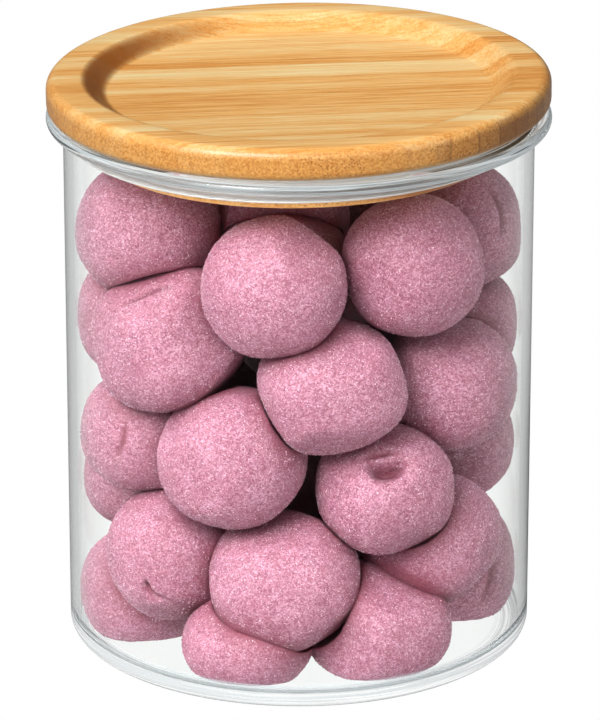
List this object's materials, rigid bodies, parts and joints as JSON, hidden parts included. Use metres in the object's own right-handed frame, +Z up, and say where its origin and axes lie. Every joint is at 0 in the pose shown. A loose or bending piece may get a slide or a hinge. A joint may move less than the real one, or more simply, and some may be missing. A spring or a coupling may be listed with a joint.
{
  "type": "jar of candy balls",
  "caption": "Straight-sided clear glass jar packed with large pink sugar-coated candy balls, shut with a round bamboo lid that has a shallow tray top and a clear seal ring.",
  "frame": {"origin": "centre of the jar's flat base, on the surface that it stands on", "axes": "+Z up along the jar's axis, -Y the front in the picture, +X to the right of that view"},
  "size_m": [0.1404, 0.1404, 0.1649],
  "materials": {
    "clear_glass": "clear, smooth and glossy",
    "bamboo": "laminated bamboo, fine grain, satin oiled",
    "clear_silicone": "clear, soft sheen",
    "sugared_candy": "soft pink candy under a rough sparkling crust of sugar grains"
  },
  "bodies": {
    "root": {"glass_jar": "clear_glass", "bamboo_lid": "bamboo", "seal_ring": "clear_silicone", "candy_balls": "sugared_candy"}
  },
  "joints": []
}
